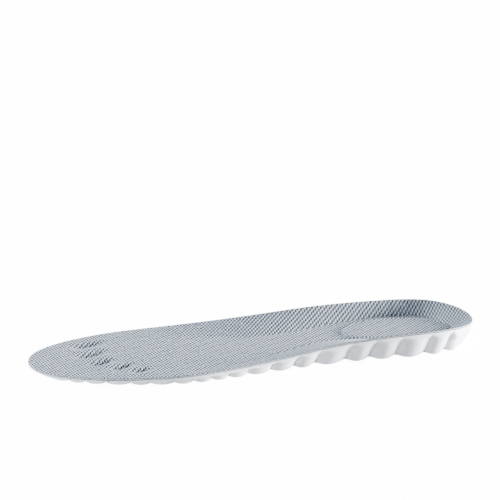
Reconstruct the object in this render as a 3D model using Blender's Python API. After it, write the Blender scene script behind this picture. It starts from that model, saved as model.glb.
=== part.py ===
"""Cushioned insole for a left shoe: mesh cover on a dark backing and a film, moulded foam body, gel heel pad.

The insole lies on its sole. +X runs to the heel, +Y to the inner side of the foot, +Z up.
Lengths are in millimetres until a mesh is made.
"""

import math

import bpy
import numpy as np
from mathutils.geometry import delaunay_2d_cdt

# --- the plan: X, Y and rim height at points round the rim, from the toe tip by the outer side to the heel ---
RIM = [
    (-135.0, 4.3, 4.2), (-128.9, -17.1, 4.2), (-112.7, -30.3, 4.4), (-85.4, -40.6, 4.9),
    (-47.9, -46.7, 6.3), (-19.6, -43.2, 7.4), (13.7, -36.1, 10.0), (54.2, -30.3, 14.9),
    (99.8, -26.0, 16.6), (123.0, -17.6, 15.7), (134.7, 0.1, 13.7), (132.1, 17.3, 14.6),
    (114.9, 35.0, 16.1), (84.6, 39.5, 16.6), (44.1, 36.8, 16.5), (11.7, 35.7, 14.2),
    (-14.5, 40.0, 10.6), (-44.9, 46.3, 6.5), (-77.3, 45.1, 5.1), (-105.6, 36.5, 4.7),
    (-126.8, 22.4, 4.3),
]
# How far in from the rim the cup's inner slope runs, at the same points.
SLOPE_WIDTH = [8, 8, 8, 8, 8, 8, 15.5, 27, 12, 12, 14.5, 14.5, 9.5, 7, 13, 22, 24, 20, 10, 8, 8]
SLOPE_POWER = 1.1
FOOT_CREASE = 0.35  # the pressed line where the cup's slope meets the bed
BED = [(-135, 4.2), (-100, 4.7), (-50, 6.2), (0, 7.0), (40, 7.6), (80, 8.1), (110, 8.3), (135, 8.5)]

# --- the laminate over the foam, from the top down ---
COVER, BACKING, FILM = 0.8, 0.5, 0.2
GAP = 0.15
FOAM_TOP = COVER + BACKING + FILM + 3 * GAP  # how far the foam's top lies under the cover's

# --- the wall round the foam ---
WALL_INSET, HEEL_STEEPER = 6.2, 2.2  # at a wall 16.5 mm high, and how much less at the heel
HEEL_UNDERCUT = 3.6  # how much more at the heel's very end
LOBE_DEPTH = 2.4
LOBE_SCALLOP = 2.6  # how far the valleys lift the wall's foot off the ground
# Valleys between the lobes: X along the outer side, Y round the heel, X along the inner side, Y round the toe.
OUTER_VALLEYS = [-114.7, -105.2, -93.2, -78.7, -66.9, -53.2, -41.0, -29.6, -18.9, -7.0, 7.1, 21.1, 34.4, 53.6,
                 67.9, 83.9, 102.0, 115.5]
HEEL_VALLEYS = [-13.5, -4.5, 5.0, 14.5, 24.0]
INNER_VALLEYS = [109.9, 96.7, 82.2, 64.6, 48.2, 31.8, 16.0, 2.6, -10.7, -24.0, -41.7, -55.0, -69.0, -86.6,
                 -97.5, -110.0]
TOE_VALLEYS = [24.0, 11.0, -2.0, -15.0]

# --- the sole ---
CROWN = 0.45  # how high a cobble's crown is over the pads' plane
CREASE = [(-135, 0.6), (-110, 1.0), (-60, 1.5), (0, 2.1), (135, 2.2)]
TOE_FLANGE = 1.1  # the lift of the thin trim margin round the toe
COBBLE_PITCH = 10.5
PAD_BEVEL = 1.4
HOLE_RADIUS = 1.75
HOLE_ROOF = 0.6  # foam left over a blind vent hole
TOE_PADS = [  # centre, length, width, turn in degrees
    (-72.2, -30.3, 16.7, 12.4, 25), (-82.5, -20.3, 17.9, 13.7, 20), (-91.8, -9.2, 19.7, 15.5, 15),
    (-97.2, 5.2, 23.7, 17.0, 8), (-96.8, 22.7, 25.8, 18.2, 0),
]
PADS = {
    "outer_ball": [(-47, -36.5), (-40, -36), (-35, -31), (-34, -24), (-37, -18.5), (-43, -16), (-50, -18),
                   (-57, -21), (-58.5, -26.5), (-54, -32.5)],
    "mid_ball": [(-75.5, -1), (-74.5, -8), (-67, -13), (-56, -16.5), (-47.5, -15.5), (-44, -8), (-45.5, 0.5),
                 (-50, 6.5), (-61, 8.5), (-70, 6.5)],
    "inner_ball": [(-81, 26.5), (-78.5, 18.5), (-73, 13), (-64, 10.5), (-52, 11), (-45.5, 14.5), (-42.5, 22.5),
                   (-43, 29.5), (-47, 34), (-61, 37.5), (-73, 37), (-80, 32.5)],
    "metatarsal": [(-20, -27.5), (-13, -28), (-6, -25), (-2.5, -20), (-1.5, -14.5), (-4, -7.5), (-9.5, 2.5),
                   (-16.5, 10), (-25, 13.5), (-34, 14.5), (-39.5, 12), (-41.5, 5), (-40.5, -2), (-37.5, -11.5),
                   (-32, -20), (-26.5, -25)],
    "arch": [(4.5, -20), (11.5, -21.5), (18, -21.5), (25, -20), (28.5, -15), (30.5, -8), (29, -1.5), (24, 2.5),
             (13.5, 6.5), (6.5, 7.5), (-0.5, 6.5), (-3.2, 2.5), (-3, -3.5), (0.5, -12)],
    "heel_front": [(39, -15), (47, -16), (55, -15.5), (60.5, -13.5), (62.2, -9.5), (61, -4), (56.5, 1.5),
                   (50, 5), (39, 6.5), (33.5, 5), (32.8, 0), (34, -7), (35.8, -13)],
}
VENTS = [
    (-72.5, -30.5), (-82.5, -20), (-96.5, -11), (-88.5, -8), (-102.5, 4), (-93.5, 6.5), (-102.5, 22.5),
    (-93.5, 23), (-47, -31), (-52.5, -24), (-41, -23), (-67, -7.5), (-58, -8), (-49, -8), (-69.5, 2),
    (-60, 1.5), (-51, 1.5), (-66.5, 16), (-55, 14.5), (-75.5, 20.5), (-47.5, 21), (-67, 24.5), (-57.5, 23),
    (-73.5, 31), (-63.5, 33), (-52.5, 31), (-26, -20.5), (-18, -20), (-8.5, -17), (-31, -12), (-22, -10.5),
    (-11.5, -8), (-35, -3.5), (-26.5, -1.5), (-18, 2), (-36.5, 6), (-28.5, 7.5), (11, -16.5), (21.5, -15.5),
    (7, -7.5), (16.5, -8), (25, -7), (3.5, 1.5), (14.5, 1), (44.5, -10), (54, -9), (38, -1.5), (47.5, -1.5),
]

# --- the top ---
HEEL_OVAL = (89.0, 5.8, 33.5, 21.5, -7.5, 1.0)  # centre, half length, half width, turn in degrees, rise
TOE_HOLLOWS = [  # centre, half length, half width, turn in degrees, depth
    (-97.3, 24.2, 13.5, 7.2, 16, 1.5), (-96.3, 6.6, 12.5, 6.8, 22, 1.5), (-91.7, -9.0, 11.0, 6.4, 22, 1.5),
    (-80.2, -20.0, 9.7, 5.8, 28, 1.4), (-70.2, -29.5, 8.7, 5.2, 20, 1.2),
]

# --- the gel pad ---
GEL = (92.5, 4.3, 29.4, 21.0)  # centre, half length, half width
GEL_FACE, GEL_TOP = 0.5, 3.9
GEL_DIMPLES = [(76.5, -7), (88.5, -7.5), (101, -7), (113, -3.5), (72.5, 3.5), (86.5, 4.5), (99.5, 5.5),
               (114, 6.5), (75.5, 13.5), (87, 17), (99.5, 18), (110.5, 15.2)]
BOND = 0.2
POCKET_GAP = 0.35

RIM_SAMPLES = 1600


def closed_spline(knots, count):
    """Evenly stepped points on the smooth closed curve through the knots (a periodic cubic spline)."""
    knots = np.asarray(knots, float)
    after = np.roll(knots, -1, axis=0)
    step = np.sqrt(np.linalg.norm((after - knots)[:, :2], axis=1))
    slope = (after - knots) / step[:, None]
    n = len(knots)
    system = np.zeros((n, n))
    for i in range(n):
        system[i, i - 1] += step[i - 1]
        system[i, i] += 2 * (step[i - 1] + step[i])
        system[i, (i + 1) % n] += step[i]
    bend = np.linalg.solve(system, 6 * (slope - np.roll(slope, 1, axis=0)))
    starts = np.concatenate([[0], np.cumsum(step)])
    at = np.linspace(0, starts[-1], 8 * count, endpoint=False)
    i = np.searchsorted(starts, at, side="right") - 1
    t, h = (at - starts[i])[:, None], step[i][:, None]
    here, there = bend[i], bend[(i + 1) % n]
    line = (knots[i] + t * (slope[i] - h * (2 * here + there) / 6)
            + t**2 * here / 2 + t**3 * (there - here) / (6 * h))
    run = np.linalg.norm((np.roll(line, -1, axis=0) - line)[:, :2], axis=1)
    along = np.concatenate([[0], np.cumsum(run)])
    even = np.searchsorted(along, np.linspace(0, along[-1], count, endpoint=False))
    return line[even % len(line)]


RIM_LINE = closed_spline([(*p, w) for p, w in zip(RIM, SLOPE_WIDTH)], RIM_SAMPLES)
RIM_LINE[:, :2] -= (RIM_LINE[:, :2].max(axis=0) + RIM_LINE[:, :2].min(axis=0)) / 2


def inward(line):
    """Unit normals that point inside a counter-clockwise closed line."""
    run = np.roll(line[:, :2], -1, axis=0) - np.roll(line[:, :2], 1, axis=0)
    run /= np.linalg.norm(run, axis=1)[:, None]
    return np.column_stack([-run[:, 1], run[:, 0]])


RIM_NORMAL = inward(RIM_LINE)


def near_rim(xy):
    """(distance to the rim, index of the nearest rim sample) for each point."""
    gap = np.linalg.norm(xy[:, None, :] - RIM_LINE[None, :, :2], axis=2)
    index = gap.argmin(axis=1)
    return gap[np.arange(len(xy)), index], index


def lookup(table, x):
    return np.interp(x, *np.transpose(table))


def smooth(t):
    t = np.clip(t, 0, 1)
    return t * t * (3 - 2 * t)


def in_ellipse(xy, x, y, half_length, half_width, degrees=0.0):
    """How far out each point lies: 0 at the ellipse's centre and 1 on its edge."""
    c, s = math.cos(math.radians(degrees)), math.sin(math.radians(degrees))
    dx, dy = xy[:, 0] - x, xy[:, 1] - y
    return np.hypot((dx * c + dy * s) / half_length, (dy * c - dx * s) / half_width)


def toe_hollow(xy, x, y, half_length, half_width, degrees, depth):
    """A leaf-shaped hollow, steep on its inner side, with a low crest on its outer side."""
    c, s = math.cos(math.radians(degrees)), math.sin(math.radians(degrees))
    dx, dy = xy[:, 0] - x, xy[:, 1] - y
    along, across = (dx * c + dy * s) / half_length, (dy * c - dx * s) / half_width
    ends = smooth(1 - abs(along) ** 1.6)
    side = np.where(across > 0.15, (across - 0.15) / 0.65, (across - 0.15) / 1.0)
    crest = smooth(1 - abs(across + 1.15) / 0.75)
    return ends * depth * (0.28 * crest - smooth(1 - abs(side)))


def top_height(xy):
    """The cover's upper face: the bed, the cup's slope up to the rim, the heel oval and the toe hollows."""
    gap, index = near_rim(xy)
    bed = lookup(BED, xy[:, 0])
    rise = np.clip(1 - gap / RIM_LINE[index, 3], 0, 1) ** SLOPE_POWER
    height = bed + (RIM_LINE[index, 2] - bed) * rise
    foot = (gap - RIM_LINE[index, 3]) / 1.1
    height -= FOOT_CREASE * np.exp(-foot**2) * smooth(xy[:, 0] / 25)
    x, y, a, b, turn, lift = HEEL_OVAL
    height += lift * smooth((1 - in_ellipse(xy, x, y, a, b, turn)) / 0.07) * smooth((0.5 - rise) / 0.2)
    for hollow in TOE_HOLLOWS:
        height += toe_hollow(xy, *hollow)
    return height


def rim_index(side, value):
    """The rim sample at this X on the outer or inner side, or at this Y at the heel or toe."""
    x, y = RIM_LINE[:, 0], RIM_LINE[:, 1]
    off, allowed = {
        "outer": (abs(x - value), y < 0), "inner": (abs(x - value), y > 0),
        "heel": (abs(y - value), x > 60), "toe": (abs(y - value), x < -60),
    }[side]
    return int(np.where(allowed, off, 1e9).argmin())


def valleys():
    found = [rim_index("outer", x) for x in OUTER_VALLEYS] + [rim_index("heel", y) for y in HEEL_VALLEYS]
    found += [rim_index("inner", x) for x in INNER_VALLEYS] + [rim_index("toe", y) for y in TOE_VALLEYS]
    return sorted(found)


def wall_inset(index):
    """How far in from the rim the wall meets the sole."""
    x, z = RIM_LINE[index, 0], RIM_LINE[index, 2]
    inset = WALL_INSET - HEEL_STEEPER * smooth((x - 60) / 40) + HEEL_UNDERCUT * smooth((x - 121) / 11)
    return inset * np.clip(z / 16.5, 0.25, 1)


def valley_depths():
    """For each rim sample, 0 at the middle of a lobe and 1 in the valley between two lobes."""
    marks = np.array(valleys())
    marks = np.concatenate([marks[-1:] - RIM_SAMPLES, marks, marks[:1] + RIM_SAMPLES])
    at = np.arange(RIM_SAMPLES)
    after = np.searchsorted(marks, at, side="right")
    start, end = marks[after - 1], marks[after]
    off = 2 * (at - start) / (end - start) - 1
    return 0.5 * off**2 + 0.5 * (1 - np.sqrt(1 - 0.985 * off**2))


VALLEY = valley_depths()
LOBE_SCALE = np.clip(RIM_LINE[:, 2] / 13, 0.45, 1) * (1 - 0.85 * smooth((RIM_LINE[:, 0] - 122) / 5))


def toe_margins():
    """For each rim sample, how wide the sole's plain margin is."""
    x, y = RIM_LINE[:, 0], RIM_LINE[:, 1]
    outer = np.interp(x, [-135, -112, -70, -55], [9.5, 9.5, 6.5, 0])
    inner = np.interp(x, [-135, -128, -115], [9.5, 6, 0])
    return np.where(y < 4.3, outer, inner)


MARGIN = toe_margins()


def ellipse_ring(x, y, length, width, degrees, count):
    turn = 2 * math.pi * np.arange(count) / count
    c, s = math.cos(math.radians(degrees)), math.sin(math.radians(degrees))
    u, v = length / 2 * np.cos(turn), width / 2 * np.sin(turn)
    return np.column_stack([x + u * c - v * s, y + u * s + v * c])


def gel_ring(grow, count=40):
    """The gel pad's egg-like outline, grown by this much."""
    x, y, a, b = GEL
    turn = 2 * math.pi * np.arange(count) / count
    c, s = np.cos(turn), np.sin(turn)
    blunt = np.where(c > 0, 0.92, 1.0)
    return np.column_stack([
        x + (a + grow) * np.sign(c) * abs(c) ** blunt,
        y + (b + grow) * np.sign(s) * abs(s) ** blunt,
    ])


def pad_rings(count=20):
    rings = [ellipse_ring(*p, count) for p in TOE_PADS]
    return rings + [closed_spline(p, count) for p in PADS.values()]


def shrunk(ring, by):
    return ring + inward(ring) * by


def inside(xy, ring):
    """Which points lie inside a closed ring."""
    x, y = xy[:, 0][:, None], xy[:, 1][:, None]
    ax, ay = ring[:, 0], ring[:, 1]
    bx, by = np.roll(ax, -1), np.roll(ay, -1)
    across = (ay > y) != (by > y)
    with np.errstate(divide="ignore", invalid="ignore"):
        left = x < (bx - ax) * (y - ay) / (by - ay) + ax
    return (across & left).sum(axis=1) % 2 == 1


def ring_gap(xy, ring):
    """Distance from each point to a closed ring."""
    a, b = ring, np.roll(ring, -1, axis=0)
    run = b - a
    t = ((xy[:, None, :] - a) * run).sum(axis=2) / (run**2).sum(axis=1)
    nearest = a + np.clip(t, 0, 1)[:, :, None] * run
    return np.linalg.norm(xy[:, None, :] - nearest, axis=2).min(axis=1)


def cobble_centres():
    """One centre in each edge lobe, and a loose honeycomb of them inside, clear of the pads."""
    marks = valleys()
    edge = []
    for a, b in zip(marks, marks[1:] + [marks[0] + RIM_SAMPLES]):
        i = (a + b) // 2 % RIM_SAMPLES
        edge.append(RIM_LINE[i, :2] + RIM_NORMAL[i] * (wall_inset(i) + 4.2))
    edge = np.array(edge)
    field = []
    for row in range(-6, 7):
        for column in range(-14, 15):
            wobble = 2.2 * math.sin(5.1 * row + 2.3 * column), 2.2 * math.sin(3.7 * column - 1.9 * row)
            field.append(((column + row % 2 / 2) * COBBLE_PITCH + wobble[0],
                          row * COBBLE_PITCH * 0.87 + wobble[1]))
    field = np.array(field)
    keep = inside(field, RIM_LINE[::8, :2])
    keep &= np.linalg.norm(field[:, None] - edge, axis=2).min(axis=1) > 7.5
    for ring in [*pad_rings(), gel_ring(POCKET_GAP)]:
        keep &= ~inside(field, ring) & (ring_gap(field, ring) > 3.0)
    return np.concatenate([edge, field[keep]])


COBBLES = cobble_centres()


def crease(xy):
    """0 on a cobble's crown and 1 in the crease between two cobbles."""
    gap = np.linalg.norm(xy[:, None, :] - COBBLES, axis=2)
    first, second = np.argsort(gap, axis=1)[:, :2].T
    rows = np.arange(len(xy))
    apart = np.linalg.norm(COBBLES[first] - COBBLES[second], axis=1)
    to_border = (gap[rows, second] ** 2 - gap[rows, first] ** 2) / (2 * apart)
    return 1 - np.sqrt(1 - np.clip(1 - to_border / 4.5, 0, 1) ** 2)


def sole_height(xy):
    """The cobbled face between the pads, scalloped at its edge under the wall's valleys."""
    gap, index = near_rim(xy)
    lift = TOE_FLANGE * smooth((-114 - xy[:, 0]) / 16)
    from_wall, from_margin = gap - wall_inset(index), gap - MARGIN[index]
    hollow = lookup(CREASE, xy[:, 0]) * crease(xy) * smooth(from_wall / 6) * smooth(from_margin / 3)
    scallop = LOBE_SCALLOP * (LOBE_SCALE * VALLEY)[index] * np.clip(1 - (from_wall - 1) / 7, 0, 1) ** 2
    scallop *= smooth((RIM_LINE[index, 0] + 124) / 12)
    return CROWN + lift + np.maximum(hollow, scallop)


def cobble_points():
    """The crowns, and points along the creases, which a coarse mesh needs to show the cobbles."""
    cells = delaunay_2d_cdt([tuple(p) for p in COBBLES], [], [], 0, 1e-6)[2]
    corners, middles = [], []
    for i, j, k in cells:
        a, b, c = COBBLES[[i, j, k]]
        d = 2 * (a[0] * (b[1] - c[1]) + b[0] * (c[1] - a[1]) + c[0] * (a[1] - b[1]))
        squares = [(p @ p) for p in (a, b, c)]
        x = (squares[0] * (b[1] - c[1]) + squares[1] * (c[1] - a[1]) + squares[2] * (a[1] - b[1])) / d
        y = (squares[0] * (c[0] - b[0]) + squares[1] * (a[0] - c[0]) + squares[2] * (b[0] - a[0])) / d
        if min(np.linalg.norm(np.array([x, y]) - p) for p in (a, b, c)) < 11:
            corners.append((x, y))
        middles += [(a + b) / 2, (b + c) / 2, (c + a) / 2]
    found = np.concatenate([COBBLES, corners, middles])
    _, first = np.unique(np.round(found, 1), axis=0, return_index=True)
    return found[np.sort(first)]


def spread(points, apart):
    """The points, less each one nearer than this to one before it."""
    kept = []
    for p in points:
        if all(np.hypot(*(p - q)) > apart for q in kept):
            kept.append(p)
    return np.array(kept)


def triangulated(rings, loose, hole_rings):
    """(points, triangles) over the first ring, with every ring's sides kept and the hole rings left open."""
    points, sides = [], []
    for ring in rings + hole_rings:
        start = len(points)
        points += [tuple(p) for p in ring]
        sides += [(start + i, start + (i + 1) % len(ring)) for i in range(len(ring))]
    points += [tuple(p) for p in loose]
    out, _, faces, _, _, _ = delaunay_2d_cdt(points, sides, [], 0, 1e-7)
    out, faces = np.array(out), np.array([f for f in faces if len(f) == 3])
    middle = out[faces].mean(axis=1)
    keep = inside(middle, rings[0])
    for ring in hole_rings:
        keep &= ~inside(middle, ring)
    faces = faces[keep]
    a, b, c = out[faces[:, 0]], out[faces[:, 1]], out[faces[:, 2]]
    turned = np.cross(b - a, c - a) < 0
    faces[turned] = faces[turned][:, ::-1]
    return out, faces


def material(name, colour, roughness, **more):
    made = bpy.data.materials.new(name)
    made.use_nodes = True
    shader = made.node_tree.nodes["Principled BSDF"]
    shader.inputs["Base Color"].default_value = (*colour, 1)
    shader.inputs["Roughness"].default_value = roughness
    for key, value in more.items():
        shader.inputs[key.replace("_", " ")].default_value = value
    return made


class Skin:
    """A mesh put together from sheets, bands and caps, whose shared points are named by index."""

    def __init__(self):
        self.points, self.faces = [], []

    def add(self, xy, z):
        start = len(self.points)
        self.points += [(x, y, h) for (x, y), h in zip(xy, np.broadcast_to(z, len(xy)))]
        return list(range(start, len(self.points)))

    def sheet(self, index, triangles, up):
        for t in triangles:
            self.faces.append([index[i] for i in (t if up else t[::-1])])

    def band(self, low, high):
        """Side faces between two rings; where the lower ring has twice the points, one triangle more each."""
        n, twice = len(high), len(low) // len(high)
        for i in range(n):
            j = (i + 1) % n
            run = [low[(twice * i + k) % len(low)] for k in range(twice + 1)]
            self.faces.append([run[0], run[1], high[i]])
            if twice == 2:
                self.faces.append([run[1], run[2], high[j]])
            self.faces.append([run[1], high[j], high[i]])

    def cap(self, ring, up):
        self.faces.append(ring if up else ring[::-1])

    def build(self, name, skin, centre=(0, 0, 0)):
        """The finished object, in metres, with its origin at this point."""
        mesh = bpy.data.meshes.new(name)
        mesh.from_pydata((np.array(self.points) - centre) * 0.001, [], self.faces)
        mesh.materials.append(skin)
        mesh.shade_smooth()
        mesh.set_sharp_from_angle(angle=math.radians(40))
        body = bpy.data.objects.new(name, mesh)
        body.location = [c * 0.001 for c in centre]
        bpy.context.scene.collection.objects.link(body)


def wall_marks():
    """Rim samples for the wall's rings: six to a lobe, the first in the valley."""
    marks = valleys()
    found = []
    for a, b in zip(marks, marks[1:] + [marks[0] + RIM_SAMPLES]):
        found += [int(a + (b - a) * u) % RIM_SAMPLES for u in (0, 0.12, 0.3, 0.5, 0.7, 0.88)]
    return np.array(found)


def top_plan(marks):
    """The shared plan mesh of the laminate's layers and of the foam's top."""
    ring = RIM_LINE[marks, :2]
    rows = [RIM_LINE[::k, :2] + RIM_NORMAL[::k] * d for k, d in ((13, 4.5), (15, 9.5), (17, 14.5))]
    hollows = [ellipse_ring(x, y, 2 * a * f, 2 * b * f, turn, 8)
               for x, y, a, b, turn, _ in TOE_HOLLOWS for f in (0.02, 0.6, 1.0)]
    x, y, a, b, turn, _ = HEEL_OVAL
    oval = [ellipse_ring(x, y, 2 * a * f, 2 * b * f, turn, 28) for f in (0.92, 1.0)]
    grid = np.array([((c + r % 2 / 2) * 8.5, r * 7.4) for r in range(-6, 7) for c in range(-16, 17)])
    near = near_rim(grid)[0]
    grid = grid[inside(grid, ring) & (near > 17)]
    loose = spread(np.concatenate([*oval, *hollows, *rows, grid]), 2.6)
    gap = near_rim(loose)[0]
    return triangulated([ring], loose[inside(loose, ring) & (gap > 3)], [])


def layer(name, plan, count, below, thick, skin):
    """One sheet of the laminate, its upper face this far below the cover's."""
    xy, triangles = plan
    top = top_height(xy) - below
    made = Skin()
    upper = made.add(xy, top)
    lower = made.add(xy, top - thick)
    made.sheet(upper, triangles, True)
    made.sheet(lower, triangles, False)
    made.band(lower[:count], upper[:count])
    made.build(name, skin)


def wall_ring(marks, depth):
    """(points, heights) of the foam's wall at this share of its depth, scalloped into lobes."""
    inset = wall_inset(marks)
    foot = RIM_LINE[marks, :2] + RIM_NORMAL[marks] * inset[:, None]
    dip = LOBE_DEPTH * (LOBE_SCALE * VALLEY)[marks] * smooth((RIM_LINE[marks, 0] + 124) / 12)
    curve = 0.45 * depth + 0.55 * (1 - math.sqrt(1 - depth**2))
    reach = inset * curve + dip * min(1, 1.6 * depth)
    top = RIM_LINE[marks, 2] - FOAM_TOP
    low = sole_height(foot)
    points = RIM_LINE[marks, :2] + RIM_NORMAL[marks] * reach[:, None]
    return points, top + (low - top) * depth


def foam_body(plan, count, marks):
    xy, triangles = plan
    made = Skin()
    top = made.add(xy, top_height(xy) - FOAM_TOP)
    made.sheet(top, triangles, True)
    ring = top[:count]
    for depth in (0.3, 0.62, 0.86):
        lower = made.add(*wall_ring(marks, depth))
        made.band(lower, ring)
        ring = lower
    edge, _ = wall_ring(marks, 1.0)

    pads = pad_rings()
    flats = [shrunk(r, PAD_BEVEL) for r in pads]
    vents = [ellipse_ring(x, y, 2 * HOLE_RADIUS, 2 * HOLE_RADIUS, 0, 10) for x, y in VENTS]
    pocket = gel_ring(POCKET_GAP)
    loose = spread(cobble_points(), 2.2)
    clear = inside(loose, shrunk(edge, 1.5))
    for r in [*pads, pocket]:
        clear &= ~inside(loose, r) & (ring_gap(loose, r) > 1.2)
    sole, faces = triangulated([edge, *pads, *flats], loose[clear], [*vents, pocket])

    height = sole_height(sole)
    for r in flats:
        height[inside(sole, r) | (ring_gap(sole, r) < 0.01)] = 0
    for r in pads:
        height[ring_gap(sole, r) < 0.01] += 0.9
    under = made.add(sole, height)
    made.sheet(under, faces, False)
    made.band(under[:len(marks)], ring)

    start = len(marks) + sum(len(r) for r in pads + flats)
    for r in vents:
        mouth = under[start:start + len(r)]
        roof = made.add(r, (top_height(r) - FOAM_TOP - HOLE_ROOF).min())
        made.band(roof, mouth)
        made.cap(roof, False)
        start += len(r)
    mouth = under[start:start + len(pocket)]
    roof = made.add(pocket, GEL_TOP + BOND + 3 * GAP)
    made.band(roof, mouth)
    made.cap(roof, False)
    made.build("foam_body", material("foam_white", (0.80, 0.81, 0.83), 0.75))


def gel_pad():
    """The gel cushion: a bevelled oval with a shallow groove inside its rim and twelve dimples in its face."""
    rings = [gel_ring(-g) for g in (1.0, 1.8, 2.6)]
    dimples = [ellipse_ring(x, y, 3.0, 3.0, 0, 6) for x, y in GEL_DIMPLES]
    xy, triangles = triangulated(rings, np.empty((0, 2)), dimples)
    height = np.full(len(xy), GEL_FACE)
    n = len(rings[0])
    height[:n], height[n:2 * n] = GEL_FACE + 0.1, GEL_FACE + 0.6
    made = Skin()
    face = made.add(xy, height)
    made.sheet(face, triangles, False)
    side = made.add(gel_ring(0), GEL_FACE + 0.9)
    made.band(face[:n], side)
    top = made.add(gel_ring(0), GEL_TOP)
    made.band(side, top)
    made.cap(top, True)
    start = 3 * n
    for r in dimples:
        mouth = face[start:start + len(r)]
        deep = made.add(r.mean(axis=0) + (r - r.mean(axis=0)) * 0.4, GEL_FACE + 1.1)
        made.band(deep, mouth)
        made.cap(deep, False)
        start += len(r)
    skin = material("gel_red", (0.75, 0.02, 0.01), 0.2, Coat_Weight=0.5)
    made.build("heel_gel_pad", skin, (*GEL[:2], GEL_FACE))


def gel_bond():
    made = Skin()
    ring = gel_ring(-0.4)
    low = made.add(ring, GEL_TOP + GAP)
    high = made.add(ring, GEL_TOP + GAP + BOND)
    made.band(low, high)
    made.cap(high, True)
    made.cap(low, False)
    skin = material("bond_clear", (0.85, 0.82, 0.72), 0.35)
    made.build("gel_bond_film", skin, (*GEL[:2], GEL_TOP + GAP))


def build():
    for old in list(bpy.data.objects):
        bpy.data.objects.remove(old)
    marks = wall_marks()
    rim = marks[::2]
    plan = top_plan(rim)
    drop = COVER + GAP
    layer("top_cover", plan, len(rim), 0, COVER, material("knit_grey", (0.38, 0.42, 0.47), 0.9))
    layer("cover_backing", plan, len(rim), drop, BACKING, material("backing_dark", (0.05, 0.06, 0.07), 0.9))
    layer("barrier_film", plan, len(rim), drop + BACKING + GAP, FILM, material("film_clear", (0.8, 0.82, 0.84), 0.4))
    foam_body(plan, len(rim), marks)
    gel_pad()
    gel_bond()


build()
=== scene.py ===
"""Cushioned insole for a left foot: knitted mesh over moulded foam, with a gel pad under the heel."""

import math

import bpy
import numpy as np
from mathutils import Matrix, Vector
from mathutils.geometry import delaunay_2d_cdt
from mathutils.kdtree import KDTree


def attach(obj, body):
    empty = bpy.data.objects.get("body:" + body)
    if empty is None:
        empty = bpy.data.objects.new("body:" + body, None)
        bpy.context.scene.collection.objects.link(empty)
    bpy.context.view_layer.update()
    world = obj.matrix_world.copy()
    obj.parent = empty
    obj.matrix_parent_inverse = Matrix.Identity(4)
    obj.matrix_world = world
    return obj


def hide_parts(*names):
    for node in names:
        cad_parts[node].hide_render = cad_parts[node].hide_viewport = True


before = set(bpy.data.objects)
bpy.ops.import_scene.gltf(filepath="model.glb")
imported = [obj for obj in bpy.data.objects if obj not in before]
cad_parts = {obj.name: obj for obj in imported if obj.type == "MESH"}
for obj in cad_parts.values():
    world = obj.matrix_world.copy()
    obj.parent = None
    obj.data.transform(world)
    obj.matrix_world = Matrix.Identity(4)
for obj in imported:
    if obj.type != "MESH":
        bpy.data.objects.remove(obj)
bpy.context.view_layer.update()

# Lengths are in millimetres until a mesh is made. +X runs to the heel, +Y to the inner side, +Z up.
RIM = [  # X, Y, rim height, width of the cup's inner slope
    (-135.0, 4.3, 4.2, 8), (-128.9, -17.1, 4.2, 8), (-112.7, -30.3, 4.4, 8), (-85.4, -40.6, 4.9, 8),
    (-47.9, -46.7, 6.3, 8), (-19.6, -43.2, 7.4, 8), (13.7, -36.1, 10.0, 15.5), (54.2, -30.3, 14.9, 27),
    (99.8, -26.0, 16.6, 12), (123.0, -17.6, 15.7, 12), (134.7, 0.1, 13.7, 14.5), (132.1, 17.3, 14.6, 14.5),
    (114.9, 35.0, 16.1, 9.5), (84.6, 39.5, 16.6, 7), (44.1, 36.8, 16.5, 13), (11.7, 35.7, 14.2, 22),
    (-14.5, 40.0, 10.6, 24), (-44.9, 46.3, 6.5, 20), (-77.3, 45.1, 5.1, 10), (-105.6, 36.5, 4.7, 8),
    (-126.8, 22.4, 4.3, 8),
]
BED = [(-135, 4.2), (-100, 4.7), (-50, 6.2), (0, 7.0), (40, 7.6), (80, 8.1), (110, 8.3), (135, 8.5)]
SLOPE_POWER = 1.1
FOOT_CREASE = 0.35  # the pressed line where the cup's slope meets the bed
# X, Y, half length, half width, turn in degrees, and how high or deep.
HEEL_OVAL = (89.0, 5.8, 33.5, 21.5, -7.5, 1.0)
TOE_HOLLOWS = [
    (-97.3, 24.2, 13.5, 7.2, 16, 1.9), (-96.3, 6.6, 12.5, 6.8, 22, 1.9), (-91.7, -9.0, 11.0, 6.4, 22, 1.9),
    (-80.2, -20.0, 9.7, 5.8, 28, 1.8), (-70.2, -29.5, 8.7, 5.2, 20, 1.5),
]
COVER, BACKING, FILM, GAP = 0.8, 0.5, 0.2, 0.15
FOAM_TOP = COVER + BACKING + FILM + 3 * GAP

WALL_INSET, HEEL_STEEPER = 6.2, 2.2  # at a wall 16.5 mm high, and how much less at the heel
HEEL_UNDERCUT = 3.6  # how much more at the heel's very end
LOBE_DEPTH, LOBE_SCALLOP = 3.5, 2.5
LOBE_LEAN = 3.6  # how far the valleys run towards the heel on their way up
COVER_EDGE = 0.75  # the cover's cut edge: a line of painted shade over a pale one
EDGE_LINE = 0.15  # the backing's cut edge below it
RIM_TOP = COVER_EDGE + EDGE_LINE + 0.35  # from the cover's face down to the foam's outer edge
RIM_BULGE = 0.5
OUTER_VALLEYS = [-114.7, -105.2, -93.2, -78.7, -66.9, -53.2, -41.0, -29.6, -18.9, -7.0, 7.1, 21.1, 34.4, 53.6,
                 67.9, 83.9, 102.0, 115.5]
HEEL_VALLEYS = [-13.5, -4.5, 5.0, 14.5, 24.0]
INNER_VALLEYS = [109.9, 96.7, 82.2, 64.6, 48.2, 31.8, 16.0, 2.6, -10.7, -24.0, -41.7, -55.0, -69.0, -86.6,
                 -97.5, -110.0]
TOE_VALLEYS = [24.0, 11.0, -2.0, -15.0]

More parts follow.
